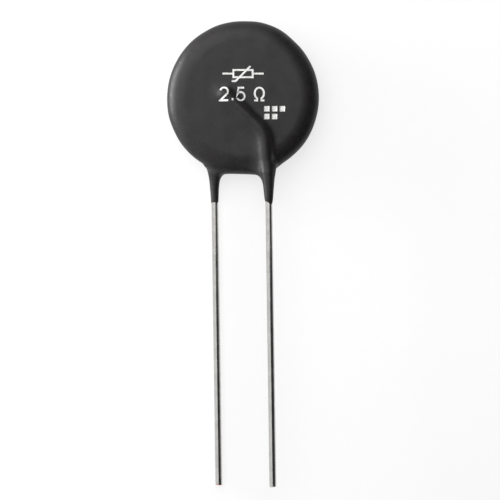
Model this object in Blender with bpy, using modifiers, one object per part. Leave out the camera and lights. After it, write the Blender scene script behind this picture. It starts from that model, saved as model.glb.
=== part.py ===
"""Disc thermistor with two radial leads, lying on its back.

A pressed ceramic disc has an electrode on each face. A formed wire is soldered across
each electrode and runs down past the disc's edge. A dipped resin coat covers the disc,
both joints and the first millimetres of both wires, and rises in a ridge over each wire.

Metres, +Z up. +Z leaves the front face, the leads run towards -Y, and the ridge over the
back wire is what the part lies on. The disc is modelled about its own centre, and an
empty then sets the whole part down with the origin at the bottom centre of its box.
"""

import math

import bmesh
import bpy
import numpy as np
from mathutils import Matrix, Vector

# Ceramic disc and the electrode layer on each face
CERAMIC_RADIUS = 0.0100
CERAMIC_THICKNESS = 0.0026
CERAMIC_BEVEL = 0.00025
ELECTRODE_MARGIN = 0.0007
ELECTRODE_THICKNESS = 0.00006

# Lead wires, in the frame of the pair: across, along and above the middle of the pair
WIRE_RADIUS = 0.0005
LEAD_PITCH = 0.00785
LEAD_FREE_LENGTH = 0.0410
WIRE_END_ACROSS = 0.0020
WIRE_END_ABOVE = 0.0004
KNEE_INSET = 0.00036
KNEE_BELOW = 0.0052
KNEE_BEND = 0.0040
EXIT_BELOW = 0.0018
EXIT_BEND = 0.0120
CUT_CHAMFER = 0.00012
PAIR_OFFSET = -0.00044
PAIR_LEAN = math.radians(0.82)

# Solder bead along each wire
SOLDER_HALF_WIDTH = 0.0013
SOLDER_HEIGHT = 0.0008
SOLDER_PAST_WIRE = 0.0009
SOLDER_EDGE_MARGIN = 0.0016
SOLDER_TAPER = 0.0026
SOLDER_END_SHARE = 0.25

# Dipped coat: its thickness over each thing that it covers
RIM_COAT = 0.0010
FACE_COAT = 0.00065
RIDGE_COAT = 0.00025
FRONT_LEG_COAT = 0.00043
BACK_LEG_COAT = 0.00022
LEG_TIP_COAT = 0.00010
FRONT_RUN_DOWN = 0.0043
BACK_RUN_DOWN = 0.0041

# Dipped coat: the rim's ellipse, and the resin that drained down it before it set
RIM_ROUND = 0.0020
RIM_REACH = 0.0029
RIM_SAG = 0.00013
RIM_SAG_FLANKS = 4.0
RIM_SAG_SIDE = 0.45

# Dipped coat: three places where the rim stands out of round, by their bearing from +X
SHOULDER_AT = math.radians(69)
SHOULDER_SPREAD = math.radians(24)
SHOULDER_SWELL = 0.00018
CROWN_AT = math.radians(105)
CROWN_SPREAD = math.radians(40)
CROWN_SWELL = 0.00006
FLANK_AT = math.radians(190)
FLANK_SPREAD = math.radians(22)
FLANK_SWELL = 0.00009

# Dipped coat: width over which the resin over a wire flows into the disc's, on the wire's
# inner and outer side, and how far inside the rim the face's width turns into the edge's
FACE_INNER_FLOW = 0.0016
FACE_OUTER_FLOW = 0.0009
FRONT_INNER_FLOW = 0.0028
FRONT_OUTER_FLOW = 0.0024
BACK_INNER_FLOW = 0.0028
BACK_OUTER_FLOW = 0.0027
INNER_TURN = (0.0004, 0.0014)
OUTER_TURN = (0.0010, 0.0020)

# Clearance between pieces that are bonded on the real part
BOND_GAP = 0.00002

# How finely the round shapes are divided, and the least lengths and slopes to divide by
DISC_SEGMENTS = 64
WIRE_SIDES = 16
BEND_STEPS = 6
SOLDER_STEPS = 8
NET_SPACING = 0.00022
NET_ROUNDS = 2
SETTLE_ROUNDS = 6
SLOPE_STEP = 0.00001
LEAST_STEEPNESS = 0.25
LEAST_REACH = 0.0001
RIM_CORE_SHARE = 0.25
COAT_TRIANGLES = 6000
MERGE_DISTANCE = 1e-7
SHARP_ANGLE = math.radians(40)

# Finishes: colour, roughness and metallic share
FINISHES = {
    "epoxy_black": ((0.050, 0.048, 0.050, 1.0), 0.45, 0.0),
    "tinned_copper": ((0.60, 0.60, 0.59, 1.0), 0.30, 1.0),
    "solder_grey": ((0.50, 0.51, 0.52, 1.0), 0.35, 1.0),
    "fired_silver": ((0.78, 0.77, 0.74, 1.0), 0.45, 1.0),
    "oxide_ceramic": ((0.030, 0.028, 0.030, 1.0), 0.70, 0.0),
}

# Sizes that follow from the ones above
electrode_radius = CERAMIC_RADIUS - ELECTRODE_MARGIN
electrode_bottom = CERAMIC_THICKNESS / 2 + BOND_GAP
electrode_top = electrode_bottom + ELECTRODE_THICKNESS
wire_height = electrode_top + BOND_GAP + WIRE_RADIUS
coat_radius = CERAMIC_RADIUS + RIM_COAT
face_height = electrode_top + FACE_COAT
rim_round = min(RIM_ROUND, face_height)
longest_run_down = max(FRONT_RUN_DOWN, BACK_RUN_DOWN)
lead_tip = -(coat_radius + longest_run_down + LEAD_FREE_LENGTH)
pair_frame = Matrix.Translation((PAIR_OFFSET, 0, 0)) @ Matrix.Rotation(PAIR_LEAN, 4, "Z")
half_turn = Matrix.Rotation(math.pi, 4, "Y")


def clear_scene():
    """Removes what a new file starts with."""
    for thing in list(bpy.data.objects):
        bpy.data.objects.remove(thing, do_unlink=True)


def new_collection(name):
    """A collection in the scene."""
    collection = bpy.data.collections.new(name)
    bpy.context.scene.collection.children.link(collection)
    return collection


def material(name, colour, roughness, metallic):
    """A Principled material of one colour."""
    made = bpy.data.materials.new(name)
    made.use_nodes = True
    shader = made.node_tree.nodes["Principled BSDF"]
    shader.inputs["Base Color"].default_value = colour
    shader.inputs["Roughness"].default_value = roughness
    shader.inputs["Metallic"].default_value = metallic
    return made


def placed(name, mesh, collection):
    """An object for a mesh, in a collection."""
    thing = bpy.data.objects.new(name, mesh)
    collection.objects.link(thing)
    return thing


def evaluated_mesh(thing):
    """The mesh that an object's curve or modifiers give, in world space."""
    bpy.context.view_layer.update()
    graph = bpy.context.evaluated_depsgraph_get()
    mesh = bpy.data.meshes.new_from_object(thing.evaluated_get(graph))
    mesh.transform(thing.matrix_world)
    return mesh


def turned(name, profile, collection, segments=DISC_SEGMENTS):
    """A solid of revolution about Z from (radius, height) points that run top to bottom."""
    mesh = bpy.data.meshes.new(name)
    points = [(radius, 0, height) for radius, height in profile]
    mesh.from_pydata(points, [(i, i + 1) for i in range(len(points) - 1)], [])
    thing = placed(name, mesh, collection)
    screw = thing.modifiers.new("Turn", "SCREW")
    screw.steps = segments
    screw.render_steps = segments
    screw.use_merge_vertices = True
    screw.merge_threshold = MERGE_DISTANCE
    return thing


def ceramic_profile(grow=0.0):
    """Half section of the chamfered ceramic, or with grow of the room that it takes up."""
    radius = CERAMIC_RADIUS + grow
    top = CERAMIC_THICKNESS / 2 + grow
    upper = [(0, top), (radius - CERAMIC_BEVEL, top), (radius, top - CERAMIC_BEVEL)]
    return upper + [(across, -height) for across, height in reversed(upper)]


def layer_profile(face, grow=0.0):
    """Half section of an electrode, or with grow of the room that it takes up."""
    bottom = electrode_bottom - 2 * grow
    top = electrode_top + grow
    if face == "back":
        bottom, top = -top, -bottom
    radius = electrode_radius + grow
    return [(0, top), (radius, top), (radius, bottom), (0, bottom)]


def rounded_route(corners, bends):
    """Points along straight runs, with an arc of its own radius at each inner corner."""
    route = [corners[0]]
    for before, corner, after, radius in zip(corners, corners[1:], corners[2:], bends):
        arriving = (corner - before).normalized()
        leaving = (after - corner).normalized()
        turn = arriving.angle(leaving)
        reach = radius * math.tan(turn / 2)
        middle = corner + (leaving - arriving).normalized() * radius / math.cos(turn / 2)
        start = corner - arriving * reach - middle
        axis = arriving.cross(leaving)
        for step in range(BEND_STEPS + 1):
            route.append(middle + Matrix.Rotation(turn * step / BEND_STEPS, 3, axis) @ start)
    route.append(corners[-1])
    return route


def wire_route(end):
    """Centre line of the front wire in the pair's frame, down to a given place along it."""
    lane = LEAD_PITCH / 2
    corners = [Vector((-WIRE_END_ACROSS, WIRE_END_ABOVE, wire_height)),
               Vector((lane - KNEE_INSET, -KNEE_BELOW, wire_height)),
               Vector((lane, -(coat_radius + EXIT_BELOW), wire_height)),
               Vector((lane, end, wire_height))]
    return rounded_route(corners, [KNEE_BEND, EXIT_BEND])


def swept(name, points, radii, collection, section=None, depth=0.0):
    """A curve through the points, as a mesh: round, or with another curve as its section."""
    curve = bpy.data.curves.new(name, "CURVE")
    curve.dimensions = "3D"
    curve.twist_mode = "Z_UP"
    curve.bevel_resolution = (WIRE_SIDES - 4) // 2
    curve.use_fill_caps = True
    if section:
        curve.bevel_mode = "OBJECT"
        curve.bevel_object = section
    else:
        curve.bevel_depth = depth
    spline = curve.splines.new("POLY")
    spline.points.add(len(points) - 1)
    for knot, point, radius in zip(spline.points, points, radii):
        knot.co = (*point, 1)
        knot.radius = radius
    path = placed(name + "_path", curve, collection)
    mesh = evaluated_mesh(path)
    bpy.data.objects.remove(path, do_unlink=True)
    return placed(name, weld(mesh), collection)


def weld(mesh):
    """The same mesh with its loose caps joined on and its faces pointing out."""
    shape = bmesh.new()
    shape.from_mesh(mesh)
    bmesh.ops.remove_doubles(shape, verts=shape.verts, dist=MERGE_DISTANCE)
    bmesh.ops.recalc_face_normals(shape, faces=shape.faces)
    shape.to_mesh(mesh)
    shape.free()
    return mesh


def wire(name, collection, grow=0.0):
    """A formed wire with a chamfered cut end, or with grow the room that it takes up."""
    points = wire_route(lead_tip - grow)
    cut = points[-1].copy()
    points[-1] = cut + Vector((0, CUT_CHAMFER, 0))
    points.append(cut)
    points[0] = points[0] + (points[0] - points[1]).normalized() * grow
    radii = [1.0] * (len(points) - 1) + [1.0 - CUT_CHAMFER / WIRE_RADIUS]
    return swept(name, points, radii, collection, depth=WIRE_RADIUS + grow)


def solder_section(collection, grow):
    """The bead's section: a half ellipse with its flat side on the electrode."""
    curve = bpy.data.curves.new("solder_section", "CURVE")
    curve.dimensions = "2D"
    spline = curve.splines.new("POLY")
    spline.points.add(SOLDER_STEPS)
    spline.use_cyclic_u = True
    for step, knot in enumerate(spline.points):
        angle = math.pi * step / SOLDER_STEPS
        across = (SOLDER_HALF_WIDTH + grow) * math.cos(angle)
        above = (SOLDER_HEIGHT + grow) * math.sin(angle)
        knot.co = (across, above, 0, 1)
    return placed("solder_section", curve, collection)


def solder(name, collection, grow=0.0):
    """A bead that follows the wire inside the electrode and thins out at both ends."""
    base = Vector((0, 0, electrode_top + BOND_GAP - grow - wire_height))
    start, first = wire_route(lead_tip)[:2]
    edge = electrode_radius - SOLDER_EDGE_MARGIN
    inside = [point for point in wire_route(lead_tip) if point.xy.length < edge]
    head = start + (start - first).normalized() * (SOLDER_PAST_WIRE + grow)
    tail = inside[-1] + (inside[-1] - inside[-2]).normalized() * grow
    corners = [head] + inside[:-1] + [tail]
    lengths = [0.0]
    for before, after in zip(corners, corners[1:]):
        lengths.append(lengths[-1] + (after - before).length)
    points = []
    radii = []
    for step in range(2 * SOLDER_STEPS + 1):
        share = 0.5 - 0.5 * math.cos(math.pi * step / (2 * SOLDER_STEPS))
        along = share * lengths[-1]
        piece = max(i for i in range(len(corners) - 1) if lengths[i] <= along)
        part = (along - lengths[piece]) / (lengths[piece + 1] - lengths[piece])
        points.append(corners[piece].lerp(corners[piece + 1], part) + base)
        to_end = min(along, lengths[-1] - along)
        taper = min(1.0, to_end / SOLDER_TAPER)
        swell = math.sqrt(1 - (1 - taper) ** 2)
        radii.append(SOLDER_END_SHARE + (1 - SOLDER_END_SHARE) * swell)
    section = solder_section(collection, grow)
    bead = swept(name, points, radii, collection, section=section)
    bpy.data.objects.remove(section, do_unlink=True)
    return bead


def boolean(thing, operation, other):
    """Adds a Boolean modifier that joins another solid on, or cuts it away."""
    step = thing.modifiers.new(other.name, "BOOLEAN")
    step.operation = operation
    step.solver = "EXACT"
    step.object = other


def hide_cutter(thing):
    """Marks a solid as a cutter."""
    thing.hide_render = True
    thing.display_type = "WIRE"


def seat(thing, face):
    """Turns a piece from the front of the pair's frame to the side that it belongs on."""
    thing.data.transform(pair_frame @ (half_turn if face == "back" else Matrix()))
    return thing


def near_route(points, route):
    """Distance from each point to the nearest place on a line through the route, and how
    far the point lies beside the line there, above zero on the wire's outer side."""
    nearest = np.full(len(points), np.inf)
    beside = np.zeros(len(points))
    for before, after in zip(route, route[1:]):
        start = np.array(before)
        run = np.array(after) - start
        share = np.clip((points - start) @ run / (run @ run), 0, 1)
        gap = points - start - share[:, None] * run
        distance = np.linalg.norm(gap, axis=1)
        ahead = run / np.linalg.norm(run)
        across = ahead[0] * gap[:, 1] - ahead[1] * gap[:, 0]
        beside = np.where(distance < nearest, across, beside)
        nearest = np.minimum(nearest, distance)
    return nearest, beside


def flow_together(first, second, width):
    """Smooth union: the smaller distance, less a quarter of width where both are equal."""
    meeting = np.clip(1 - np.abs(first - second) / width, 0, None)
    return np.minimum(first, second) - meeting ** 2 * width / 4


def disc_field(points):
    """Signed distance to the coated disc alone: flat faces and an elliptical rim.

    Across the rim, lengths are squeezed until its ellipse is a circle. The distance to that
    circle, over its own slope, is a length in real space again. The rim is fuller above both
    legs, where resin drained and set, and at the places where it stands out of round.
    """
    across = np.hypot(points[:, 0], points[:, 1])
    reach = np.maximum(across, LEAST_REACH)
    below = np.clip(-points[:, 1] / reach, 0, None) ** 2
    proud = RIM_SAG * below * (1 + RIM_SAG_FLANKS * (1 - below))
    proud = proud * (1 - RIM_SAG_SIDE * points[:, 0] / reach)
    bearing = np.arctan2(points[:, 1], points[:, 0]) % (2 * math.pi)
    for middle, spread, height in ((SHOULDER_AT, SHOULDER_SPREAD, SHOULDER_SWELL),
                                   (CROWN_AT, CROWN_SPREAD, CROWN_SWELL),
                                   (FLANK_AT, FLANK_SPREAD, FLANK_SWELL)):
        away = np.clip((bearing - middle) / spread, -1, 1)
        proud = proud + height * (1 - away ** 2) ** 2
    radial = across - proud - (coat_radius - RIM_REACH)
    axial = np.abs(points[:, 2]) - (face_height - rim_round)
    squeeze = rim_round / RIM_REACH
    outward = squeeze * np.clip(radial, 0, None)
    upward = np.clip(axial, 0, None)
    length = np.hypot(outward, upward)
    slope = np.hypot(squeeze * outward, upward) / np.maximum(length, LEAST_REACH)
    slope = np.where(length < RIM_CORE_SHARE * rim_round, 1, slope)
    return (length - rim_round) / slope + np.minimum(np.maximum(radial, axial), 0)


def coat_field(points):
    """Signed distance to the coat's outer surface, below zero inside.

    The resin over each wire is a tube whose thickness shrinks from the rim to the end of its
    leg. Each tube flows into the disc, over one width on the wire's inner side and another
    on its outer side, and both widths change from the face to the edge.
    """
    field = disc_field(points)
    for face, leg_coat, run_down, inner_flow, outer_flow in (
            ("front", FRONT_LEG_COAT, FRONT_RUN_DOWN, FRONT_INNER_FLOW, FRONT_OUTER_FLOW),
            ("back", BACK_LEG_COAT, BACK_RUN_DOWN, BACK_INNER_FLOW, BACK_OUTER_FLOW)):
        to_pair = (pair_frame @ (half_turn if face == "back" else Matrix())).inverted()
        turn = np.array(to_pair.to_3x3())
        local = points @ turn.T + np.array(to_pair.translation)
        tip = -(coat_radius + run_down)
        along = local[:, 1]
        levels = [tip, -coat_radius, -electrode_radius]
        thickness = np.interp(along, levels, [LEG_TIP_COAT, leg_coat, RIDGE_COAT])
        distance, beside = near_route(local, wire_route(lead_tip))
        leg = np.maximum(distance - WIRE_RADIUS - thickness, tip - along)
        inside = coat_radius + along
        inner = np.interp(inside, INNER_TURN, [inner_flow, FACE_INNER_FLOW])
        outer = np.interp(inside, OUTER_TURN, [outer_flow, FACE_OUTER_FLOW])
        share = np.interp(beside, [-WIRE_RADIUS, WIRE_RADIUS], [0, 1])
        field = flow_together(field, leg, inner + (outer - inner) * share)
    return field


def settle(mesh):
    """Moves each vertex along the field's slope until it lies on the coat's surface."""
    points = np.empty(len(mesh.vertices) * 3)
    mesh.vertices.foreach_get("co", points)
    points = points.reshape(-1, 3)
    for _ in range(SETTLE_ROUNDS):
        slope = np.empty_like(points)
        for axis in range(3):
            shift = np.zeros(3)
            shift[axis] = SLOPE_STEP
            rise = coat_field(points + shift) - coat_field(points - shift)
            slope[:, axis] = rise / (2 * SLOPE_STEP)
        steepness = np.clip((slope ** 2).sum(axis=1), LEAST_STEEPNESS, None)
        points -= slope * (coat_field(points) / steepness)[:, None]
    mesh.vertices.foreach_set("co", points.ravel())
    mesh.update()


def even_net(thing):
    """Replaces an object's mesh by an even net over it, settled on the coat's surface."""
    remesh = thing.modifiers.new("Even net", "REMESH")
    remesh.mode = "VOXEL"
    remesh.voxel_size = NET_SPACING
    mesh = evaluated_mesh(thing)
    thing.modifiers.clear()
    settle(mesh)
    thing.data = mesh


def coat_core(thing, collection):
    """Joins tubes for the resin over both wires to the disc's coat."""
    for face, leg_coat, run_down in (("front", FRONT_LEG_COAT, FRONT_RUN_DOWN),
                                     ("back", BACK_LEG_COAT, BACK_RUN_DOWN)):
        points = wire_route(-(coat_radius + run_down))
        tip_share = (WIRE_RADIUS + LEG_TIP_COAT) / (WIRE_RADIUS + leg_coat)
        radii = [1.0] * (len(points) - 1) + [tip_share]
        tube = swept("resin_over_" + face, points, radii, collection,
                     depth=WIRE_RADIUS + leg_coat)
        hide_cutter(seat(tube, face))
        boolean(thing, "UNION", tube)


def coating(collection, cutters, rooms):
    """The dipped coat: one skin outside, and inside it the room for all that it covers.

    The skin starts as a turned disc joined to two tubes. It is remeshed to an even net,
    settled on the field and remeshed again, and then its flat stretches lose faces."""
    rim = [(coat_radius - RIM_REACH * (1 - math.sin(angle)),
            face_height - rim_round * (1 - math.cos(angle)))
           for angle in np.linspace(0, math.pi / 2, BEND_STEPS + 1)]
    profile = [(0, face_height)] + rim + [(r, -z) for r, z in reversed(rim)] + [(0, -face_height)]
    coat = turned("coating", profile, collection)
    coat_core(coat, cutters)
    for _ in range(NET_ROUNDS):
        even_net(coat)
    thin = coat.modifiers.new("Fewer faces", "DECIMATE")
    thin.ratio = COAT_TRIANGLES / (2 * len(coat.data.polygons))
    coat.data = evaluated_mesh(coat)
    coat.modifiers.clear()
    for room in rooms:
        hide_cutter(room)
        boolean(coat, "DIFFERENCE", room)
    return coat


def build():
    """Models every piece and sets the part down."""
    clear_scene()
    parts = new_collection("disc_thermistor")
    cutters = new_collection("cutters")

    ceramic = turned("ceramic_disc", ceramic_profile(), parts)
    ceramic_room = turned("ceramic_room", ceramic_profile(BOND_GAP), cutters)
    finishes = {"ceramic_disc": "oxide_ceramic"}
    pieces = [ceramic]
    rooms = [ceramic_room]

    for face in ("front", "back"):
        electrode = turned(face + "_electrode", layer_profile(face), parts)
        electrode_room = turned(face + "_electrode_room", layer_profile(face, BOND_GAP), cutters)
        lead = seat(wire(face + "_lead", parts), face)
        lead_room = seat(wire(face + "_lead_room", cutters, BOND_GAP), face)
        joint = seat(solder(face + "_solder_joint", parts), face)
        joint_room = seat(solder(face + "_solder_room", cutters, BOND_GAP), face)
        boolean(joint, "DIFFERENCE", lead_room)
        pieces += [electrode, lead, joint]
        rooms += [electrode_room, joint_room, lead_room]
        finishes[electrode.name] = "fired_silver"
        finishes[lead.name] = "tinned_copper"
        finishes[joint.name] = "solder_grey"

    coat = coating(parts, cutters, rooms)
    pieces.append(coat)
    finishes["coating"] = "epoxy_black"

    set_down = bpy.data.objects.new("set_down", None)
    parts.objects.link(set_down)
    corners = np.concatenate([extent(piece) for piece in pieces])
    lowest = corners.min(axis=0)
    highest = corners.max(axis=0)
    middle = (lowest + highest) / 2
    set_down.location = (-middle[0], -middle[1], -lowest[2])
    for piece in pieces:
        name = finishes[piece.name]
        made = bpy.data.materials.get(name) or material(name, *FINISHES[name])
        piece.data.materials.append(made)
        piece.data.shade_smooth()
        piece.data.set_sharp_from_angle(angle=SHARP_ANGLE)
        piece.parent = set_down
    for cutter in rooms:
        cutter.parent = set_down


def extent(thing):
    """The lowest and highest corner of an object's mesh."""
    mesh = evaluated_mesh(thing)
    points = np.array([vertex.co for vertex in mesh.vertices])
    bpy.data.meshes.remove(mesh)
    return np.array([points.min(axis=0), points.max(axis=0)])


build()
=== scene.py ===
"""Looks of a disc thermistor: dipped coat, tinned leads, white print and a pale stage.

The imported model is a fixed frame. The coat is worked out again as the place where a distance
field is zero, with the waves and uneven leg ends that the plain solid leaves out. The leads
are a round profile carried along the same route, the print is thin ribbons laid on the coat,
and the hidden pieces keep their solids and get a finish.
"""

import math

import bpy
import numpy as np
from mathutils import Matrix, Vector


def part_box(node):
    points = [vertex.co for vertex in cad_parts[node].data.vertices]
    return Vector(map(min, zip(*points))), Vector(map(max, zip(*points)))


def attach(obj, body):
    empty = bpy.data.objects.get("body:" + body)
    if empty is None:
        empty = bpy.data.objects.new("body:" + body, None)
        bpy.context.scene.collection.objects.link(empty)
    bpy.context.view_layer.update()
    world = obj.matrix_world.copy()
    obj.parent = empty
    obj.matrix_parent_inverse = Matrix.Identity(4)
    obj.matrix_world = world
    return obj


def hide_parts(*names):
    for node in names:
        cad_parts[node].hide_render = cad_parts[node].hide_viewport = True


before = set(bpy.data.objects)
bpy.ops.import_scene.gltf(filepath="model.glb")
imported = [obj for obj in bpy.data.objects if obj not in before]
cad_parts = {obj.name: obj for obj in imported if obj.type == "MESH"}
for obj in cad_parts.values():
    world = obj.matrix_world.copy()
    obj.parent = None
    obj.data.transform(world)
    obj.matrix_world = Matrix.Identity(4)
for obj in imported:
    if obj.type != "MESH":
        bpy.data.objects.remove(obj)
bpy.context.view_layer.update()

bl_info = {
    "name": "Disc thermistor looks",
    "version": (1, 0, 0),
    "blender": (4, 5, 0),
    "location": "3D View > Sidebar > Thermistor",
    "description": "Dresses the packed disc thermistor and sets its stage",
    "category": "Object",
}

BODY = "root"
MM = 0.001
IMAGE_SIDE = 500
RGB = ("Red", "Green", "Blue")

# Resin round the ceramic's rim
RIM_COAT = 1.0 * MM
# Slow waves of a dip: their lengths in mm, and the turn, climb and start from one to the next
WAVE_LENGTHS = (3.1, 3.9, 4.7, 5.9, 7.3, 8.9)
WAVE_TURN = 2.4
WAVE_CLIMB = 1.7
WAVE_START = 1.3
# Uneven leg ends: shares of one and of two waves round the wire, and the first one's start
END_WAVES = (0.6, 0.4)
END_START = 0.8
# Share of a leg's quarter ellipse at which it is cut off flat, inside the wire
NOSE_END = 0.9
# Least squared slope that a step towards the surface divides by
LEAST_SLOPE = 0.25

# A wire's sheared end: lengths of its chamfer, of its bare copper and of its burr
CHAMFER = 0.12 * MM
BARE_COPPER = 0.05 * MM
BURR = 0.03 * MM
# Bearing, in radians, by which the burr is turned round the wire
BURR_TURN = 1.0
# Rings that round off a wire's hidden end and its sheared end: each one's place, as a share
# of the first stretch or of the chamfer, and its share of the wire's radius
HIDDEN_RINGS = ((0.0, 0.72), (0.02, 0.93), (0.06, 1.0), (0.3, 1.0), (0.6, 1.0))
SHEARED_RINGS = ((0.45, 0.97), (0.15, 0.90), (0.0, 0.80))

# The print drops onto the coat from this many wire heights up, in so many steps
DROP_HEIGHT = 2.5
DROP_STEPS = 40
# Share of the ink's thickness that each stroke has more than the one before it
INK_GAIN = 0.04
# Lower left corner of each printed mark from the disc's centre, in mm
SYMBOL_PLACE = (-3.0, 2.35)
VALUE_PLACE = (-3.35, -0.60)
LOT_PLACE = (3.4, -3.3)

# The paper sweep's half side in metres, and the glow with which it is seen
SWEEP_REACH = 1.5
SWEEP_GLOW = 0.74
# Strength of the surroundings where they are seen or mirrored, and as a light
WORLD_SHOWN = 1.0
WORLD_LIGHT = 0.9
# Heights in metres between which the flag cloth's colour is painted lighter upwards, so that its
# dark in a reflection fades softly, and how much lighter it gets
CLOTH_PAINTED_FADE_HEIGHTS = (0.40, 1.20)
CLOTH_PAINTED_LIGHTENING = 0.6
# Black flags that the coat mirrors: middle and both half sides, in metres
FLAGS = {
    "right_flag": ((0.30, 0, 0.76), (0, 1.0, 0), (0, 0, 0.75)),
    "near_flag": ((0.05, -0.45, 0.19), (0.25, 0, 0), (0, 0, 0.18)),
    "top_flag": ((0.025, -0.035, 0.10), (0.035, 0, 0), (0, 0.035, 0)),
}
# Soft boxes: place, target and both sides in metres, and the radiance that they show
LAMPS = {
    "overhead": ((-0.25, 0.38, 0.65), (-0.25, 0.0, 0.0), (0.9, 0.72), 1.5),
    "left_strip": ((-0.15, 0.060, 0.024), (0, 0.060, 0.003), (0.112, 0.026), 35.0),
}
# Nearest distance in metres that the camera shows
CLIP_START = 0.01

# Sizes and places read from the frame
ceramic_box = np.array(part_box("ceramic_disc"))
lead_box = np.array(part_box("front_lead"))
coat_box = np.array(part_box("coating"))
disc_centre = ceramic_box.mean(axis=0)
ceramic_radius = (ceramic_box[1, 0] - ceramic_box[0, 0]) / 2
wire_radius = (lead_box[1, 2] - lead_box[0, 2]) / 2
wire_height = lead_box[:, 2].mean() - disc_centre[2]
coat_radius = ceramic_radius + RIM_COAT
lead_tip = np.array(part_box("back_lead"))[0, 1] - disc_centre[1]


def hex_colour(code):
    """Linear colour of an sRGB hex value such as 1b1a1b."""
    shares = [int(code[i:i + 2], 16) / 255 for i in (0, 2, 4)]
    linear = [s / 12.92 if s <= 0.04045 else ((s + 0.055) / 1.055) ** 2.4 for s in shares]
    return (*linear, 1.0)


def in_mm(name, description, size):
    """A setting for one length in millimetres or, where size is a tuple, for a few."""
    if isinstance(size, tuple):
        return bpy.props.FloatVectorProperty(
            name=name, description=description, size=len(size), unit="LENGTH", precision=6,
            default=[one * MM for one in size])
    return bpy.props.FloatProperty(name=name, description=description, default=size * MM,
                                   unit="LENGTH", precision=6)


def tint(name, description, code):
    """A setting for a colour, given as an sRGB hex value."""
    return bpy.props.FloatVectorProperty(
        name=name, description=description, size=4, subtype="COLOR", min=0.0, max=1.0,
        default=hex_colour(code))


class FinishColours(bpy.types.PropertyGroup):
    """Colours of the pieces that show, each finish between a dark and a light tone."""

    resin_dark: tint("Dark resin", "Darker tone of the coat's mottling", "141213")
    resin_light: tint("Light resin", "Lighter tone of the coat's mottling", "221f20")
    tin_dark: tint("Dull tin", "Tone of the tin where it is dull", "b8b7b5")
    tin_light: tint("Bright tin", "Tone of the tin where it is bright", "c7c6c4")
    copper: tint("Copper", "Bare copper on the sheared ends", "c9886a")
    ink_dark: tint("Thin ink", "Tone of the print where the ink is thin", "c9c9c8")
    ink_light: tint("Full ink", "Tone of the print where the ink is full", "f4f4f2")


class WireSizes(bpy.types.PropertyGroup):
    """Route of the front wire, from the middle of the pair of leads."""

    pitch: in_mm("Pitch", "Between the two leads", 7.85)
    end_across: in_mm("End across", "How far the wire reaches past the middle", 2.0)
    end_above: in_mm("End above", "How far the wire reaches above the disc's centre", 0.4)
    knee_inset: in_mm("Knee inset", "From the lead's line in to the knee", 0.36)
    knee_below: in_mm("Knee below", "From the disc's centre down to the knee", 5.2)
    knee_bend: in_mm("Knee bend", "Radius of the bend at the knee", 4.0)
    exit_below: in_mm("Exit below", "From the coat's rim down to the second bend", 1.8)
    exit_bend: in_mm("Exit bend", "Radius of the bend below the rim", 12.0)
    offset: in_mm("Offset", "From the disc's centre to the middle of the pair", -0.44)
    lean: bpy.props.FloatProperty(
        name="Lean", description="Angle of the pair of leads in the disc's plane",
        default=math.radians(0.82), unit="ROTATION")


class CoatSizes(bpy.types.PropertyGroup):
    """Thickness of the dipped coat, and how it flows over what it covers."""

    face_height: in_mm("Face height", "From the disc's middle plane to the coat's flat face", 2.03)
    rim_round: in_mm("Rim round", "Half height of the rim's ellipse", 2.0)
    rim_reach: in_mm("Rim reach", "From the rim in to where the face turns flat", 2.9)
    rim_sag: in_mm("Rim sag", "Extra resin at the bottom of the rim", 0.13)
    sag_flanks: bpy.props.FloatProperty(
        name="Sag at the flanks", description="How much fuller the sag is beside the bottom",
        default=4.0)
    sag_side: bpy.props.FloatProperty(
        name="Sag to one side", description="Share that the sag gains left and loses right",
        default=0.45, subtype="FACTOR")
    swell_bearings: bpy.props.FloatVectorProperty(
        name="Swell bearings", description="Where the rim stands out of round, from +X",
        size=3, default=[math.radians(a) for a in (69, 105, 190)], unit="ROTATION")
    swell_spreads: bpy.props.FloatVectorProperty(
        name="Swell spreads", description="How far each swell reaches to either side",
        size=3, default=[math.radians(a) for a in (24, 40, 22)], unit="ROTATION")
    swell_heights: in_mm("Swell heights", "How far the rim stands out there", (0.18, 0.06, 0.09))
    electrode_margin: in_mm(
        "Electrode margin", "From the ceramic's edge in to the electrode's", 0.7)
    ridge: in_mm("Ridge", "Resin over the wire on the face", 0.25)
    front_leg: in_mm("Front leg", "Resin round the front wire at the rim", 0.46)
    back_leg: in_mm("Back leg", "Resin round the back wire at the rim", 0.26)
    front_tip: in_mm("Front leg tip", "Resin at the end of the front leg", 0.08)
    back_tip: in_mm("Back leg tip", "Resin at the end of the back leg", 0.03)
    front_run: in_mm("Front run-down", "Length of the front leg below the rim", 4.33)
    back_run: in_mm("Back run-down", "Length of the back leg below the rim", 4.25)
    face_inner_flow: in_mm(
        "Inner face flow", "Width of the flow from ridge to face, inner side", 1.6)
    face_outer_flow: in_mm(
        "Outer face flow", "Width of the flow from ridge to face, outer side", 0.9)
    front_flow: in_mm(
        "Front flow", "Width of the flow inside and outside the front leg", (3.05, 2.5))
    back_flow: in_mm("Back flow", "Width of the flow inside and outside the back leg", (3.0, 2.9))
    inner_turn: in_mm(
        "Inner turn", "Where the inner flow changes, from the rim inwards", (0.0, 2.6))
    outer_turn: in_mm(
        "Outer turn", "Where the outer flow changes, from the rim inwards", (1.0, 2.0))
    inner_low: in_mm(
        "Inner low", "Heights between which the inner flow turns to the face's", (1.0, 2.6))
    outer_low: in_mm(
        "Outer low", "Heights between which the outer flow turns to the face's", (1.9, 3.1))
    dome: in_mm("Dome", "How much lower the face is at its edge than at its middle", 0.10)
    wave: in_mm("Wave", "Height of the slow waves that a dip leaves", 0.012)
    ragged: in_mm("Ragged end", "How uneven the end of each leg is", 0.28)
    nose: in_mm("Nose", "Length over which the end of each leg rounds off", 1.1)
    spacing: in_mm("Spacing", "Size of the net's meshes", 0.14)


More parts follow.
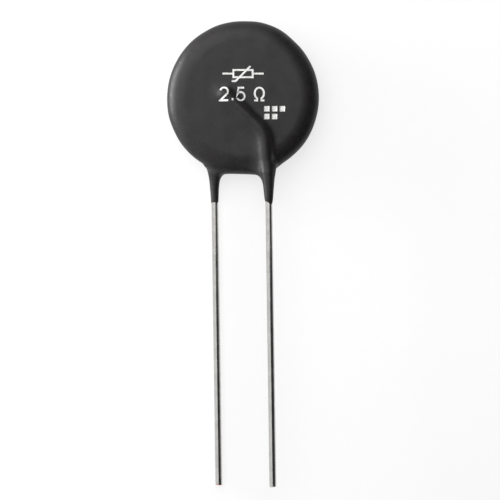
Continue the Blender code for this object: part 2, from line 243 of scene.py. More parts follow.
class PrintSizes(bpy.types.PropertyGroup):
    """The plain white print: a circuit symbol, a value and lot squares."""

    stroke: in_mm("Stroke", "Width of a printed line", 0.27)
    height: in_mm("Height", "Height of the numerals", 1.85)
    square: in_mm("Square", "Side of a lot square", 0.78)
    square_gap: in_mm("Square gap", "Between two lot squares", 0.34)
    lift: in_mm("Lift", "Thickness of the ink", 0.012)
    step: in_mm("Step", "Longest stretch between two points of a printed line", 0.10)


class StageSettings(bpy.types.PropertyGroup):
    """The camera's lens and scale, and where it shows the disc."""

    pixel: in_mm("Pixel", "Real width that one pixel of the picture covers", 0.145)
    lens: bpy.props.FloatProperty(
        name="Lens", description="Focal length on a 36 mm sensor", default=150.0,
        unit="CAMERA")
    centre_column: bpy.props.FloatProperty(
        name="Disc column", description="Pixel column of the disc's centre", default=243.18,
        subtype="PIXEL")
    centre_row: bpy.props.FloatProperty(
        name="Disc row", description="Pixel row of the disc's centre", default=97.29,
        subtype="PIXEL")


def add(tree, kind, sockets=None, stops=(), **settings):
    """Adds a node with its settings, and gives each socket a value or a link. A socket that
    shares its name with others goes by its number. Stops are a ramp's places and colours."""
    made = tree.nodes.new("ShaderNode" + kind)
    for name, value in settings.items():
        setattr(made, name, value)
    for number, (place, colour) in enumerate(stops):
        made.color_ramp.elements[number].position = place
        made.color_ramp.elements[number].color = colour
    for name, value in (sockets or {}).items():
        if isinstance(value, bpy.types.NodeSocket):
            tree.links.new(value, made.inputs[name])
        else:
            made.inputs[name].default_value = value
    return made


def new_material(name):
    """An empty node material, its tree and its coordinates in metres."""
    made = bpy.data.materials.new(name)
    made.use_nodes = True
    made.node_tree.nodes.clear()
    place = add(made.node_tree, "TexCoord").outputs["Object"]
    return made, made.node_tree, place


def finish_material(tree, shader):
    """Sends a shader to the material's output."""
    add(tree, "OutputMaterial", {"Surface": shader.outputs[0]})


def per_metre(size):
    """Noise scale that makes features of about the given size in metres."""
    return 1.0 / size


def black_epoxy(colours):
    """Dipped epoxy powder coat, cured: a satin black with slow mottling and a fine orange
    peel, so its highlights are soft and a little broken."""
    made, tree, place = new_material("dipped_black_epoxy")
    cloud = add(tree, "TexNoise", {"Vector": place, "Scale": per_metre(1.6 * MM),
                                   "Detail": 3.0, "Roughness": 0.6})
    speck = add(tree, "TexNoise", {"Vector": place, "Scale": per_metre(0.28 * MM),
                                   "Detail": 2.0, "Roughness": 0.5})
    both = add(tree, "Mix", {0: 0.45, 2: cloud.outputs["Fac"], 3: speck.outputs["Fac"]})
    tone = add(tree, "ValToRGB", {"Fac": both.outputs[0]},
               stops=((0.36, colours.resin_dark), (0.64, colours.resin_light)))
    gloss = add(tree, "MapRange", {"Value": speck.outputs["Fac"], "From Min": 0.3,
                                   "From Max": 0.7, "To Min": 0.39, "To Max": 0.52})
    peel = add(tree, "Bump", {"Height": speck.outputs["Fac"], "Strength": 0.4,
                              "Distance": 0.016 * MM})
    swell = add(tree, "Bump", {"Height": cloud.outputs["Fac"], "Strength": 0.35,
                               "Distance": 0.030 * MM, "Normal": peel.outputs[0]})
    shader = add(tree, "BsdfPrincipled", {
        "Base Color": tone.outputs["Color"], "Roughness": gloss.outputs["Result"],
        "Normal": swell.outputs[0], "IOR": 1.42})
    finish_material(tree, shader)
    return made


def tinned_copper(colours, sheared_row):
    """Hot-tinned drawn copper wire: bright, near neutral, with faint drawing streaks along
    its length, dull patches of tin, and bare copper on the sheared end."""
    made, tree, place = new_material("tinned_copper_wire")
    along = add(tree, "Mapping", {"Vector": place, "Scale": (1.0, 0.02, 1.0)})
    streak = add(tree, "TexNoise", {"Vector": along.outputs[0], "Scale": per_metre(0.10 * MM),
                                    "Detail": 2.0, "Roughness": 0.5})
    patch = add(tree, "TexNoise", {"Vector": place, "Scale": per_metre(1.1 * MM),
                                   "Detail": 1.5, "Roughness": 0.5})
    tin = add(tree, "ValToRGB", {"Fac": patch.outputs["Fac"]},
              stops=((0.30, colours.tin_dark), (0.70, colours.tin_light)))
    spot = add(tree, "SeparateXYZ", {"Vector": place})
    sheared = add(tree, "Math", {0: spot.outputs["Y"], 1: sheared_row}, operation="LESS_THAN")
    colour = add(tree, "Mix", {0: sheared.outputs[0], 6: tin.outputs["Color"],
                               7: colours.copper}, data_type="RGBA")
    gloss = add(tree, "MapRange", {"Value": patch.outputs["Fac"], "From Min": 0.3,
                                   "From Max": 0.7, "To Min": 0.14, "To Max": 0.18})
    grain = add(tree, "Bump", {"Height": streak.outputs["Fac"], "Strength": 0.25,
                               "Distance": 0.004 * MM})
    dent = add(tree, "Bump", {"Height": patch.outputs["Fac"], "Strength": 0.3,
                              "Distance": 0.004 * MM, "Normal": grain.outputs[0]})
    shader = add(tree, "BsdfPrincipled", {
        "Base Color": colour.outputs[2], "Metallic": 1.0,
        "Roughness": gloss.outputs["Result"], "Normal": dent.outputs[0]})
    finish_material(tree, shader)
    return made


def white_ink(colours):
    """Pad-printed epoxy ink: an even matt white that thins a little towards grey in spots,
    as ink does on a surface with an orange peel."""
    made, tree, place = new_material("pad_printed_white_ink")
    thin = add(tree, "TexNoise", {"Vector": place, "Scale": per_metre(0.25 * MM),
                                  "Detail": 3.0, "Roughness": 0.6})
    tone = add(tree, "ValToRGB", {"Fac": thin.outputs["Fac"]},
               stops=((0.28, colours.ink_dark), (0.55, colours.ink_light)))
    shader = add(tree, "BsdfPrincipled", {"Base Color": tone.outputs["Color"],
                                          "Roughness": 0.6, "IOR": 1.48})
    finish_material(tree, shader)
    return made


def inner_material(name, dark, light, grain, metallic, rough):
    """A grainy material for a hidden piece: two tones of one colour at the grain's size."""
    made, tree, place = new_material(name)
    grit = add(tree, "TexNoise", {"Vector": place, "Scale": per_metre(grain), "Detail": 4.0})
    tone = add(tree, "ValToRGB", {"Fac": grit.outputs["Fac"]},
               stops=((0.35, hex_colour(dark)), (0.65, hex_colour(light))))
    relief = add(tree, "Bump", {"Height": grit.outputs["Fac"], "Strength": 0.3,
                                "Distance": grain / 10})
    shader = add(tree, "BsdfPrincipled", {
        "Base Color": tone.outputs["Color"], "Metallic": metallic, "Roughness": rough,
        "Normal": relief.outputs[0]})
    finish_material(tree, shader)
    return made


def new_piece(name, points, faces, material, slot=None, stand_for=None):
    """A mesh object from points in metres and faces that point outwards."""
    mesh = bpy.data.meshes.new(name)
    mesh.from_pydata(points.tolist(), [], faces)
    mesh.update()
    mesh.shade_smooth()
    mesh.materials.append(material)
    made = bpy.data.objects.new(name, mesh)
    bpy.context.scene.collection.objects.link(made)
    if slot:
        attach(made, BODY)
    if stand_for:
        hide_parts(stand_for)
    return made


def grid_faces(rows, columns, wrap_rows=False, wrap_columns=False):
    """Quads between neighbouring points of a grid that is numbered row by row."""
    row = np.arange(rows if wrap_rows else rows - 1)[:, None]
    column = np.arange(columns if wrap_columns else columns - 1)[None, :]
    next_row = (row + 1) % rows
    next_column = (column + 1) % columns
    quads = [row * columns + column, row * columns + next_column,
             next_row * columns + next_column, next_row * columns + column]
    return np.stack([np.broadcast_to(q, (row.size, column.size)) for q in quads], -1).reshape(-1, 4)


def unit(vector):
    """A vector of length one in the same direction."""
    return vector / np.linalg.norm(vector)


def rounded_route(corners, bends, steps):
    """Straight runs joined by arcs. The centre of each arc lies on the bisector of its
    corner, radius over the cosine of half the turn away, and its first radius is turned by
    equal angles until it meets the next run."""
    route = [corners[:1]]
    for before, corner, after, radius in zip(corners, corners[1:], corners[2:], bends):
        arriving = unit(corner - before)
        leaving = unit(after - corner)
        turn = math.acos(arriving @ leaving)
        way = math.copysign(1, arriving[0] * leaving[1] - arriving[1] * leaving[0])
        middle = corner + unit(leaving - arriving) * radius / math.cos(turn / 2)
        first = corner - arriving * radius * math.tan(turn / 2) - middle
        angle = way * np.linspace(0, turn, steps + 1)
        route.append(middle + np.stack([first[0] * np.cos(angle) - first[1] * np.sin(angle),
                                        first[0] * np.sin(angle) + first[1] * np.cos(angle)], 1))
    route.append(corners[-1:])
    return np.concatenate(route)


def wire_route(wires, steps):
    """Centre line of a wire in the frame of the pair, from its hidden end to its cut end."""
    lane = wires.pitch / 2
    corners = np.array([(-wires.end_across, wires.end_above),
                        (lane - wires.knee_inset, -wires.knee_below),
                        (lane, -(coat_radius + wires.exit_below)),
                        (lane, lead_tip)])
    return rounded_route(corners, (wires.knee_bend, wires.exit_bend), steps)


def to_pair(points, wires, side):
    """Points about the disc's centre, seen from the pair of leads: shifted by the pair's
    offset, turned back by its lean and, for the back lead, half a turn about its length."""
    cosine = math.cos(wires.lean)
    sine = math.sin(wires.lean)
    shifted = points[:, 0] - wires.offset
    across = shifted * cosine + points[:, 1] * sine
    along = points[:, 1] * cosine - shifted * sine
    return np.stack([side * across, along, side * points[:, 2]], axis=1)


def from_pair(points, wires, side):
    """The way back: half a turn for the back lead, then the lean, then the offset."""
    cosine = math.cos(wires.lean)
    sine = math.sin(wires.lean)
    across = side * points[:, 0]
    return np.stack([across * cosine - points[:, 1] * sine + wires.offset,
                     across * sine + points[:, 1] * cosine, side * points[:, 2]], axis=1)


def near_route(points, route):
    """Distance in space from each point to the nearest place on a chain of straight runs,
    and how far the point lies beside that run: the cross product of the run's direction
    and the gap, which is positive on the wire's outer side."""
    nearest = np.full(len(points), np.inf)
    beside = np.zeros(len(points))
    for before, after in zip(route, route[1:]):
        run = after - before
        share = np.clip((points - before) @ run / (run @ run), 0, 1)
        gap = points - before - share[:, None] * run
        squared = np.einsum("ij,ij->i", gap, gap)
        ahead = unit(run)
        beside = np.where(squared < nearest, ahead[0] * gap[:, 1] - ahead[1] * gap[:, 0], beside)
        nearest = np.minimum(nearest, squared)
    return np.sqrt(nearest), beside


def flow_together(first, second, width):
    """Smooth union: the smaller distance, less a quarter of the width times the cube of a
    share. The share falls from one where both are equal to none where they differ by one and
    a half widths, and its cube lets a highlight cross the join unbroken."""
    meeting = np.clip(1 - np.abs(first - second) / (1.5 * width), 0, None)
    return np.minimum(first, second) - meeting ** 3 * width / 4


def eased(value, ends, results):
    """From the first result to the second as the value passes from end to end: the share of
    the way is squared, times three less twice the share, so it starts and stops gently."""
    share = np.clip((value - ends[0]) / (ends[1] - ends[0]), 0, 1)
    return results[0] + (results[1] - results[0]) * share ** 2 * (3 - 2 * share)


def slow_waves(points, height):
    """Half the height times the sum of sine waves that cross the disc in different ways."""
    total = np.zeros(len(points))
    for number, length in enumerate(WAVE_LENGTHS):
        heading = WAVE_TURN * number
        ahead = points[:, 0] * math.cos(heading) + points[:, 1] * math.sin(heading)
        climb = points[:, 2] * math.cos(WAVE_CLIMB * number)
        total += np.sin(2 * math.pi * (ahead + climb) / (length * MM) + WAVE_START * number)
    return height * total / 2


def disc_field(points, coat):
    """Signed distance to the coated disc alone: flat faces and an elliptical rim.

    Past the reach of the rim, the way out is squeezed by the ellipse's height over its reach,
    so that the ellipse is a circle there. The length in that space, less the circle's radius,
    is divided by its slope to be a length in real space again. Towards the leads the rim
    sags, by the square of the downhill share, and more so beside the bottom on the left. At
    each swell it stands out by the square of one less the squared share of the spread.
    """
    across = np.hypot(points[:, 0], points[:, 1])
    reach = np.maximum(across, wire_radius)
    below = np.clip(-points[:, 1] / reach, 0, None) ** 2
    proud = coat.rim_sag * below * (1 + coat.sag_flanks * (1 - below))
    proud = proud * (1 - coat.sag_side * points[:, 0] / reach)
    bearing = np.arctan2(points[:, 1], points[:, 0]) % (2 * math.pi)
    for middle, spread, height in zip(coat.swell_bearings, coat.swell_spreads,
                                      coat.swell_heights):
        away = np.clip((bearing - middle) / spread, -1, 1)
        proud = proud + height * (1 - away ** 2) ** 2
    dome = coat.dome * np.clip(across / coat_radius, 0, 1) ** 2
    radial = across - proud - (coat_radius - coat.rim_reach)
    axial = np.abs(points[:, 2]) + dome - (coat.face_height - coat.rim_round)
    squeeze = coat.rim_round / coat.rim_reach
    outward = squeeze * np.clip(radial, 0, None)
    upward = np.clip(axial, 0, None)
    length = np.hypot(outward, upward)
    slope = np.hypot(squeeze * outward, upward) / np.maximum(length, wire_radius * squeeze)
    slope = np.where(length < wire_radius, 1, slope)
    return (length - coat.rim_round) / slope + np.minimum(np.maximum(radial, axial), 0)


def flow_width(inside, height, widths, turn, low):
    """Width of the flow on one side of a wire: the face's, which eases into the leg's both
    towards the rim and downwards, by the product of the two shares."""
    share = eased(height, low, (1, 0)) * eased(inside, turn, (1, 0))
    return widths[0] + (widths[1] - widths[0]) * share


def coat_field(points, wires, coat):
    """Signed distance to the coat's surface from points about the disc's centre.

    The resin over each wire is a tube that thins down its leg and ends in an uneven quarter
    ellipse, which meets the wire at the leg's tip. The disc and each tube flow together, over
    a width that differs between the wire's inner and outer side and between face and leg.
    Slow waves cover it all, and fade out towards the bottom of the rim.
    """
    field = disc_field(points, coat)
    electrode_radius = ceramic_radius - coat.electrode_margin
    flat = wire_route(wires, steps=6)
    route = np.column_stack([flat, np.full(len(flat), wire_height)])
    for side, leg_coat, tip_coat, run_down, flow in (
            (1, coat.front_leg, coat.front_tip, coat.front_run, coat.front_flow),
            (-1, coat.back_leg, coat.back_tip, coat.back_run, coat.back_flow)):
        local = to_pair(points, wires, side)
        bearing = np.arctan2(local[:, 2] - wire_height, local[:, 0] - wires.pitch / 2)
        tip = -(coat_radius + run_down)
        ragged = coat.ragged * (END_WAVES[0] * np.sin(bearing + END_START)
                                + END_WAVES[1] * np.sin(2 * bearing))
        thickness = np.interp(local[:, 1], [tip, -coat_radius, -electrode_radius],
                              [tip_coat, leg_coat, coat.ridge])
        distance, beside = near_route(local, route)
        meets = math.sqrt(1 - (wire_radius / (wire_radius + tip_coat)) ** 2)
        over = meets + (tip - ragged - local[:, 1]) / coat.nose
        reach = (wire_radius + thickness) * np.sqrt(1 - np.clip(over, 0, NOSE_END) ** 2)
        leg = np.maximum(distance - reach, (over - NOSE_END) * coat.nose)
        inside = coat_radius + local[:, 1]
        inner = flow_width(inside, local[:, 2], (coat.face_inner_flow, flow[0]),
                           coat.inner_turn, coat.inner_low)
        outer = flow_width(inside, local[:, 2], (coat.face_outer_flow, flow[1]),
                           coat.outer_turn, coat.outer_low)
        share = eased(beside, (-wire_radius, wire_radius), (0, 1))
        field = flow_together(field, leg, inner + (outer - inner) * share)
    fade = np.clip((points[:, 1] + coat_radius) / coat.rim_round, 0, 1)
    return field + fade * slow_waves(points, coat.wave)


def slope_of(field, points, step):
    """Slope of a field, from its values a small step to either side along each axis."""
    slope = np.empty_like(points)
    for axis in range(3):
        shift = np.zeros(3)
        shift[axis] = step
        slope[:, axis] = (field(points + shift) - field(points - shift)) / (2 * step)
    return slope


def settle(points, field, step, rounds):
    """Moves points along the field's slope until the field is zero there."""
    for _ in range(rounds):
        slope = slope_of(field, points, step)
        steepness = np.clip((slope ** 2).sum(axis=1), LEAST_SLOPE, None)
        points = points - slope * (field(points) / steepness)[:, None]
    return points


def skin(field, low, high, spacing):
    """Closed surface on which a field is zero, as an even net of quads.

    The field is worked out on a lattice of three parameters. Each cell with corners on both
    sides of the surface gets one point, in its middle, and each lattice edge that the surface
    crosses gets the quad between its four cells.
    """
    axes = [np.arange(start, end + spacing, spacing) for start, end in zip(low, high)]
    shape = [len(axis) for axis in axes]
    value = np.empty(shape)
    for number, across in enumerate(axes[0]):
        along, above = np.meshgrid(axes[1], axes[2], indexing="ij")
        slab = np.column_stack([np.full(along.size, across), along.ravel(), above.ravel()])
        value[number] = field(slab).reshape(shape[1:])
    inside = value < 0
    corners = sum(inside[i:shape[0] - 1 + i, j:shape[1] - 1 + j, k:shape[2] - 1 + k].astype(int)
                  for i in (0, 1) for j in (0, 1) for k in (0, 1))
    crossed = (corners > 0) & (corners < 8)
    order = np.full(crossed.shape, -1)
    order[crossed] = np.arange(crossed.sum())
    points = np.argwhere(crossed) * spacing + spacing / 2 + np.array([axis[0] for axis in axes])
    quads = []
    for axis in range(3):
        state = np.moveaxis(inside, axis, 0)
        cells = np.moveaxis(order, axis, 0)
        edge = state[:-1, 1:-1, 1:-1] != state[1:, 1:-1, 1:-1]
        leaving = state[:-1, 1:-1, 1:-1][edge]
        ring = [cells[:, :-1, :-1][edge], cells[:, 1:, :-1][edge],
                cells[:, 1:, 1:][edge], cells[:, :-1, 1:][edge]]
        quad = np.stack(ring, axis=1)
        # With the middle axis in front the axes are left-handed, so its quads turn over
        outward = leaving if axis != 1 else ~leaving
        quads.append(np.where(outward[:, None], quad, quad[:, ::-1]))
    return points, np.concatenate(quads)


def relaxed(points, quads):
    """Each point moved half way to the middle of its neighbours along the net."""
    start = quads.ravel()
    end = np.roll(quads, -1, axis=1).ravel()
    pairs = np.concatenate([np.stack([start, end], 1), np.stack([end, start], 1)])
    count = np.bincount(pairs[:, 0], minlength=len(points))
    total = np.stack([np.bincount(pairs[:, 0], points[pairs[:, 1], axis], len(points))
                      for axis in range(3)], axis=1)
    return (points + total / count[:, None]) / 2


def coat_surface(wires, coat):
    """The coat's surface about the disc's centre: points that are settled on it and evened
    out along the net by turns, and quads."""
    def field(points):
        return coat_field(points, wires, coat)

    margin = 3 * coat.spacing
    step = coat.spacing / 10
    points, quads = skin(field, coat_box[0] - disc_centre - margin,
                         coat_box[1] - disc_centre + margin, coat.spacing)
    points = settle(points, field, step, rounds=2)
    for _ in range(3):
        points = settle(relaxed(points, quads), field, step, rounds=1)
    return settle(points, field, step, rounds=2), quads


def wire_surface(wires, side, sides=40, straight_rings=60):
    """A wire about the disc's centre: a circle carried along the route.

    The route lies in one plane, so the circle's two axes are the route's normal in that
    plane and the plane's own. The circle shrinks at the hidden end and at the chamfer of the
    sheared end, where a burr makes it uneven: its length times the sine of the bearing. A
    pole closes each end.
    """
    route = wire_route(wires, steps=14)
    straight = np.linspace(route[-2], route[-1] + (0, CHAMFER), straight_rings)
    tip = route[-1] + np.array([(0, CHAMFER * share) for share, _ in SHEARED_RINGS])
    lead_in = route[0] + (route[1] - route[0]) * np.array([[share] for share, _ in HIDDEN_RINGS])
    line = np.concatenate([lead_in, route[1:-2], straight, tip])
    shrink = np.ones(len(line))
    shrink[:len(lead_in)] = [size for _, size in HIDDEN_RINGS]
    shrink[-len(tip):] = [size for _, size in SHEARED_RINGS]
    ahead = np.gradient(line, axis=0)
    ahead /= np.linalg.norm(ahead, axis=1)[:, None]
    normal = np.stack([-ahead[:, 1], ahead[:, 0]], axis=1)
    angle = 2 * math.pi * np.arange(sides) / sides
    reach = wire_radius * shrink[:, None]
    flat = line[:, None] + normal[:, None] * (reach * np.cos(angle))[:, :, None]
    height = wire_height + reach * np.sin(angle)
    flat[-len(tip):, :, 1] += BURR * np.sin(angle + BURR_TURN)
    rings = np.concatenate([flat, height[:, :, None]], axis=2).reshape(-1, 3)
    poles = np.array([(*line[0], wire_height), (*line[-1], wire_height)])
    points = from_pair(np.concatenate([rings, poles]), wires, side)
    quads = grid_faces(len(line), sides, wrap_columns=True)
    first = np.arange(sides)
    after = (first + 1) % sides
    last = (len(line) - 1) * sides
    start = np.stack([np.full(sides, len(rings)), after, first], axis=1)
    end = np.stack([np.full(sides, len(rings) + 1), last + first, last + after], axis=1)
    return points, [face.tolist() for part in (quads, start, end) for face in part]


def arc(centre, radii, start, end, steps=24):
    """Part of an ellipse: centre plus the radii times cosine and sine of equal angles."""
    angle = np.radians(np.linspace(start, end, steps + 1))
    return np.stack([centre[0] + radii[0] * np.cos(angle),
                     centre[1] + radii[1] * np.sin(angle)], axis=1)


# Each printed sign is one stroke, in units of the numerals' height
def numeral_two():
    """A two: an arc over the top, a slope down to the left and a foot."""
    return np.concatenate([arc((0.32, 0.69), (0.30, 0.31), 165, -38), [(0.03, 0.0), (0.64, 0.0)]])


def numeral_five():
    """A five: a flag, a short back and a bowl."""
    bowl = arc((0.31, 0.33), (0.31, 0.33), 128, -150)
    return np.concatenate([[(0.58, 1.0), (0.14, 1.0), (0.08, 0.52)], bowl])


def full_point():
    """A decimal point: a stroke a little longer than it is wide."""
    return np.array([(0.0, 0.0), (0.0, 0.17)])


def ohm_sign():
    """The ohm sign: a ring open at the foot, with two feet turned out."""
    ring = arc((0.40, 0.56), (0.36, 0.44), -62, 242, 36)
    return np.concatenate([[(0.80, 0.0), (0.57, 0.0)], ring, [(0.23, 0.0), (0.0, 0.0)]])


def value_strokes(height):
    """The value, set out on one line: each sign's stroke moved to its place along it."""
    row = ((0.0, numeral_two()), (0.98, full_point()), (1.30, numeral_five()), (2.66, ohm_sign()))
    return [(path + (place, 0)) * height for place, path in row]


def symbol_strokes(height):
    """The thermistor symbol: a box between two wires, crossed by a stroke with a foot."""
    box = np.array([(0.85, 0.22), (2.35, 0.22), (2.35, 0.78), (0.85, 0.78), (0.85, 0.22)])
    slash = np.array([(0.72, -0.08), (1.02, -0.08), (2.18, 1.08)])
    left = np.array([(0.0, 0.5), (0.85, 0.5)])
    right = np.array([(2.35, 0.5), (3.2, 0.5)])
    return [path * height for path in (box, slash, left, right)]


def lot_strokes(side, gap):
    """Lot squares in two rows of three, the last one left out: strokes as long as wide."""
    spots = [(column, row) for row in (1, 0) for column in (0, 1, 2)][:-1]
    return [np.array([(column, row), (column, row + side / (side + gap))]) * (side + gap)
            for column, row in spots]


def resampled(path, step):
    """The same path with points so close that none is more than a step from the next."""
    gaps = np.linalg.norm(np.diff(path, axis=0), axis=1)
    counts = np.maximum(1, np.ceil(gaps / step).astype(int))
    stretches = [np.linspace(start, end, count, endpoint=False)
                 for start, end, count in zip(path, path[1:], counts)]
    return np.concatenate(stretches + [path[-1:]])


def ribbon(path, width, step, columns=5):
    """A flat band along a path: at each point the band runs along the bisector's normal,
    lengthened by one over the cosine of half the turn, so corners are mitred."""
    line = resampled(path, step)
    closed = np.allclose(line[0], line[-1])
    if closed:
        line = line[:-1]
        ahead = np.roll(line, -1, axis=0) - line
        behind = line - np.roll(line, 1, axis=0)
    else:
        gaps = np.diff(line, axis=0)
        ahead = np.concatenate([gaps, gaps[-1:]])
        behind = np.concatenate([gaps[:1], gaps])
    ahead = ahead / np.linalg.norm(ahead, axis=1)[:, None]
    behind = behind / np.linalg.norm(behind, axis=1)[:, None]
    normal = np.stack([-(ahead + behind)[:, 1], (ahead + behind)[:, 0]], axis=1)
    normal = 2 * normal / (normal ** 2).sum(axis=1)[:, None]
    across = np.linspace(-width / 2, width / 2, columns)
    return line[:, None] + normal[:, None] * across[None, :, None], closed


def print_surface(strokes, place, width, sizes, field):
    """Thin closed slabs of ink, one for each stroke, laid on the coat's front.

    Each band of points is dropped onto the coat by stepping down by the field's value until
    it is zero. The slab's top is the ink's thickness above that and its underside as much
    below, and walls close its borders. Each stroke is a hair thicker than the one before, so
    that none share a top.
    """
    points = []
    faces = []
    count = 0
    for number, path in enumerate(strokes):
        band, closed = ribbon(path, width, sizes.step)
        rows, columns = band.shape[:2]
        flat = band.reshape(-1, 2) + place
        height = np.full(len(flat), DROP_HEIGHT * wire_height)
        for _ in range(DROP_STEPS):
            height -= field(np.column_stack([flat, height]))
        lift = sizes.lift * (1 + INK_GAIN * number)
        top = np.column_stack([flat, height + lift])
        base = np.column_stack([flat, height - sizes.lift])
        grid = grid_faces(rows, columns, wrap_rows=closed)
        under = len(top)
        slab = [grid[:, ::-1], grid + under]
        order = np.arange(under).reshape(rows, columns)
        ends = [(order[0], False), (order[-1], True)]
        if closed:
            order = np.concatenate([order, order[:1]])
            ends = []
        for border, turned in [(order[:, 0], True), (order[:, -1], False)] + ends:
            near = border[:-1]
            far = border[1:]
            wall = np.stack([near, near + under, far + under, far], axis=1)
            slab.append(wall[:, ::-1] if turned else wall)
        faces += [face.tolist() for part in slab for face in part + count]
        points += [top, base]
        count += 2 * len(top)
    return np.concatenate(points), faces


class ThermistorCoat(bpy.types.Operator):
    """Builds the dipped coat, which takes the plain solid's place."""

    bl_idname = "thermistor.coat"
    bl_label = "Dipped coat"

    def execute(self, context):
        scene = context.scene
        points, quads = coat_surface(scene.thermistor_wires, scene.thermistor_coat)
        resin = black_epoxy(scene.thermistor_colours)
        new_piece("dipped_coat", points + disc_centre, quads.tolist(), resin,
                  slot="epoxy_coat", stand_for="coating")
        return {"FINISHED"}


class ThermistorLeads(bpy.types.Operator):
    """Builds both tinned leads, which take the faceted wires' place."""

    bl_idname = "thermistor.leads"
    bl_label = "Tinned leads"

    def execute(self, context):
        scene = context.scene
        tin = tinned_copper(scene.thermistor_colours, disc_centre[1] + lead_tip + BARE_COPPER)
        for side, node in ((1, "front_lead"), (-1, "back_lead")):
            points, faces = wire_surface(scene.thermistor_wires, side)
            new_piece("tinned_" + node, points + disc_centre, faces, tin,
                      slot="tinned_copper", stand_for=node)
        return {"FINISHED"}


class ThermistorPrint(bpy.types.Operator):
    """Lays the plain white print on the coat's front face."""

    bl_idname = "thermistor.print"
    bl_label = "White print"

    def execute(self, context):
        scene = context.scene
        sizes = scene.thermistor_print

        def field(points):
            return coat_field(points, scene.thermistor_wires, scene.thermistor_coat)

        ink = white_ink(scene.thermistor_colours)
        lot = lot_strokes(sizes.square, sizes.square_gap)
        for name, strokes, place, width in (
                ("printed_symbol", symbol_strokes(sizes.height), SYMBOL_PLACE, sizes.stroke),
                ("printed_value", value_strokes(sizes.height), VALUE_PLACE, sizes.stroke),
                ("printed_lot_squares", lot, LOT_PLACE, sizes.square)):
            points, faces = print_surface(strokes, np.array(place) * MM, width, sizes, field)
            new_piece(name, points + disc_centre, faces, ink, slot="epoxy_coat")
        return {"FINISHED"}


class ThermistorCore(bpy.types.Operator):
    """Gives the hidden ceramic, electrodes and solder joints their materials."""

    bl_idname = "thermistor.core"
    bl_label = "Hidden core"

    def execute(self, context):
        # Pressed and fired powder is matt and near black, fired silver paste is pale and satin,
        # and solder that froze by itself is a smooth grey with a coarse grain
        ceramic = inner_material("sintered_oxide", "1c1a1b", "2c2a2b", 0.05 * MM, 0.0, 0.75)
        silver = inner_material("fired_silver", "c9c6bd", "dedbd2", 0.08 * MM, 1.0, 0.45)
        solder = inner_material("soft_solder", "a3a4a6", "c2c3c4", 0.30 * MM, 1.0, 0.35)
        finishes = (("ceramic_disc", ceramic), ("front_electrode", silver),
                    ("back_electrode", silver), ("front_solder_joint", solder),
                    ("back_solder_joint", solder))
        for node, finish in finishes:
            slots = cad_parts[node].data.materials
            slots.clear()
            slots.append(finish)
        return {"FINISHED"}


def seen_directly(tree, shown, otherwise):
    """One value for camera, glossy and transmission rays and another for all other rays."""
    ray = add(tree, "LightPath").outputs
    either = add(tree, "Math", {0: ray["Is Camera Ray"], 1: ray["Is Glossy Ray"]},
                 operation="MAXIMUM")
    direct = add(tree, "Math", {0: either.outputs[0], 1: ray["Is Transmission Ray"]},
                 operation="MAXIMUM")
    return add(tree, "MapRange", {"Value": direct.outputs[0], "To Min": otherwise,
                                  "To Max": shown}).outputs["Result"]


def white_paper():
    """Matt white paper sweep. It adds a little glow where the camera or a reflection sees
    it, so that it reads as white, and it still takes the part's shadow."""
    made, tree, place = new_material("white_paper_sweep")
    fibre = add(tree, "TexNoise", {"Vector": place, "Scale": per_metre(1.0 * MM), "Detail": 2.0})
    tone = add(tree, "MapRange", {"Value": fibre.outputs["Fac"], "To Min": 0.27, "To Max": 0.30})
    colour = add(tree, "CombineColor", dict.fromkeys(RGB, tone.outputs["Result"]))
    paper = add(tree, "BsdfDiffuse", {"Color": colour.outputs[0]})
    glow = add(tree, "Emission", {"Strength": seen_directly(tree, SWEEP_GLOW, 0.0)})
    both = add(tree, "AddShader", {0: paper.outputs[0], 1: glow.outputs[0]})
    finish_material(tree, both)
    return made


def flag_cloth():
    """Woven black flag cloth: a matt near black with a faint weave. Its colour is painted lighter
    towards its top, so that the dark that it puts into a reflection fades out softly there."""
    made, tree, place = new_material("black_flag_cloth")
    weave = add(tree, "TexNoise", {"Vector": place, "Scale": per_metre(2.0 * MM)})
    tone = add(tree, "MapRange", {"Value": weave.outputs["Fac"], "To Min": 0.05, "To Max": 0.08})
    # Painted lightening: the cloth's colour gets lighter with height, so that its dark in a
    # reflection fades softly
    spot = add(tree, "SeparateXYZ", {"Vector": place})
    thin = add(tree, "MapRange", {"Value": spot.outputs["Z"], "From Min": CLOTH_PAINTED_FADE_HEIGHTS[0],
                                  "From Max": CLOTH_PAINTED_FADE_HEIGHTS[1], "To Max": CLOTH_PAINTED_LIGHTENING})
    both = add(tree, "Math", {0: tone.outputs["Result"], 1: thin.outputs["Result"]})
    colour = add(tree, "CombineColor", dict.fromkeys(RGB, both.outputs[0]))
    finish_material(tree, add(tree, "BsdfDiffuse", {"Color": colour.outputs[0]}))
    return made


def white_surroundings():
    """An even white world, a little weaker as a light than where it is seen or mirrored."""
    made = bpy.data.worlds.new("studio")
    made.use_nodes = True
    tree = made.node_tree
    tree.nodes.clear()
    strength = seen_directly(tree, WORLD_SHOWN, WORLD_LIGHT)
    shade = add(tree, "Background", {"Color": hex_colour("ffffff"), "Strength": strength})
    add(tree, "OutputWorld", {"Surface": shade.outputs[0]})
    return made


def sheet(name, middle, half_across, half_along, material):
    """A flat rectangle on the stage: middle plus two half sides times minus and plus one."""
    half_across = np.array(half_across)
    half_along = np.array(half_along)
    points = np.array([np.array(middle) + u * half_across + v * half_along
                       for u, v in ((-1, -1), (1, -1), (1, 1), (-1, 1))])
    made = new_piece(name, points, [(0, 1, 2, 3)], material)
    return made


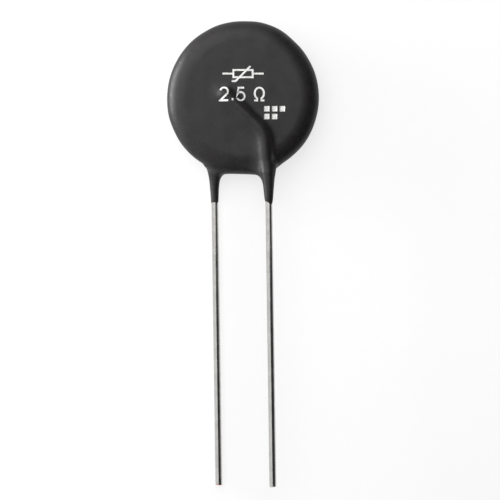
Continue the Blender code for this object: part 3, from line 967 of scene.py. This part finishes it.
def area_lamp(name, place, target, size, radiance):
    """A soft box. Its power is pi times its area times the radiance that it shows."""
    lamp = bpy.data.lights.new(name, "AREA")
    lamp.shape = "RECTANGLE"
    lamp.size, lamp.size_y = size
    lamp.energy = math.pi * size[0] * size[1] * radiance
    made = bpy.data.objects.new(name, lamp)
    made.location = place
    direction = np.array(target) - np.array(place)
    turn = math.atan2(direction[1], direction[0])
    fall = math.atan2(np.hypot(direction[0], direction[1]), -direction[2])
    made.rotation_euler = (fall, 0.0, turn - math.pi / 2)
    made.visible_camera = False
    bpy.context.scene.collection.objects.link(made)
    return made


def keep_off(lamp, names):
    """Keeps a lamp's light off the named pieces, as a card set between them would."""
    spared = bpy.data.collections.new(lamp.name + "_spares")
    for name in names:
        spared.objects.link(bpy.data.objects[name])
    for entry in spared.collection_objects:
        entry.light_linking.link_state = "EXCLUDE"
    lamp.light_linking.receiver_collection = spared


def camera_above(settings):
    """A camera that looks straight down, from a height of the picture's real width times the
    lens over the sensor's width. It stands where the disc's centre falls on its pixel."""
    camera = bpy.data.cameras.new("camera")
    camera.lens = settings.lens
    camera.clip_start = CLIP_START
    made = bpy.data.objects.new("camera", camera)
    away = IMAGE_SIDE * settings.pixel * settings.lens / camera.sensor_width
    right = (IMAGE_SIDE / 2 - settings.centre_column) * settings.pixel
    down = (IMAGE_SIDE / 2 - settings.centre_row) * settings.pixel
    made.location = disc_centre + np.array([right, -down, away])
    bpy.context.scene.collection.objects.link(made)
    return made


class ThermistorStage(bpy.types.Operator):
    """Sets up the floor, the light and the camera."""

    bl_idname = "thermistor.stage"
    bl_label = "Stage"

    def execute(self, context):
        scene = context.scene
        sheet("floor", (0, 0, 0), (SWEEP_REACH, 0, 0), (0, SWEEP_REACH, 0), white_paper())
        cloth = flag_cloth()
        for name, rectangle in FLAGS.items():
            flag = sheet(name, *rectangle, cloth)
            flag.visible_camera = False
        lamps = {}
        for name, setting in LAMPS.items():
            lamps[name] = area_lamp(name, *setting)
        keep_off(lamps["left_strip"], ("tinned_front_lead", "tinned_back_lead"))
        scene.world = white_surroundings()
        scene.view_settings.view_transform = "Standard"
        scene.camera = camera_above(scene.thermistor_stage)
        return {"FINISHED"}


class ThermistorPanel(bpy.types.Panel):
    """Lists the steps and their sizes in the sidebar."""

    bl_idname = "VIEW3D_PT_thermistor"
    bl_label = "Disc thermistor"
    bl_space_type = "VIEW_3D"
    bl_region_type = "UI"
    bl_category = "Thermistor"

    def draw(self, context):
        for group, (_, steps) in GROUPS.items():
            box = self.layout.box()
            sizes = getattr(context.scene, group)
            for name in sizes.bl_rna.properties.keys():
                if name not in ("rna_type", "name"):
                    box.prop(sizes, name)
            for step in steps:
                box.operator(step.bl_idname)


# Each group of settings with the operators that stand under it in the panel
GROUPS = {
    "thermistor_colours": (FinishColours, ()),
    "thermistor_coat": (CoatSizes, (ThermistorCoat,)),
    "thermistor_wires": (WireSizes, (ThermistorLeads, ThermistorCore)),
    "thermistor_print": (PrintSizes, (ThermistorPrint,)),
    "thermistor_stage": (StageSettings, (ThermistorStage,)),
}
CLASSES = [kind for kind, _ in GROUPS.values()]
CLASSES += [step for _, steps in GROUPS.values() for step in steps]
CLASSES.append(ThermistorPanel)


def register():
    """Makes the classes and their settings known to Blender."""
    for kind in CLASSES:
        bpy.utils.register_class(kind)
    for name, (kind, _) in GROUPS.items():
        setattr(bpy.types.Scene, name, bpy.props.PointerProperty(type=kind))


def unregister():
    """Takes the settings and the classes away again."""
    for name in GROUPS:
        delattr(bpy.types.Scene, name)
    for kind in reversed(CLASSES):
        bpy.utils.unregister_class(kind)


def main():
    register()
    bpy.ops.thermistor.coat()
    bpy.ops.thermistor.leads()
    bpy.ops.thermistor.print()
    bpy.ops.thermistor.core()
    bpy.ops.thermistor.stage()
    bpy.context.view_layer.update()


if __name__ == "__main__":
    main()
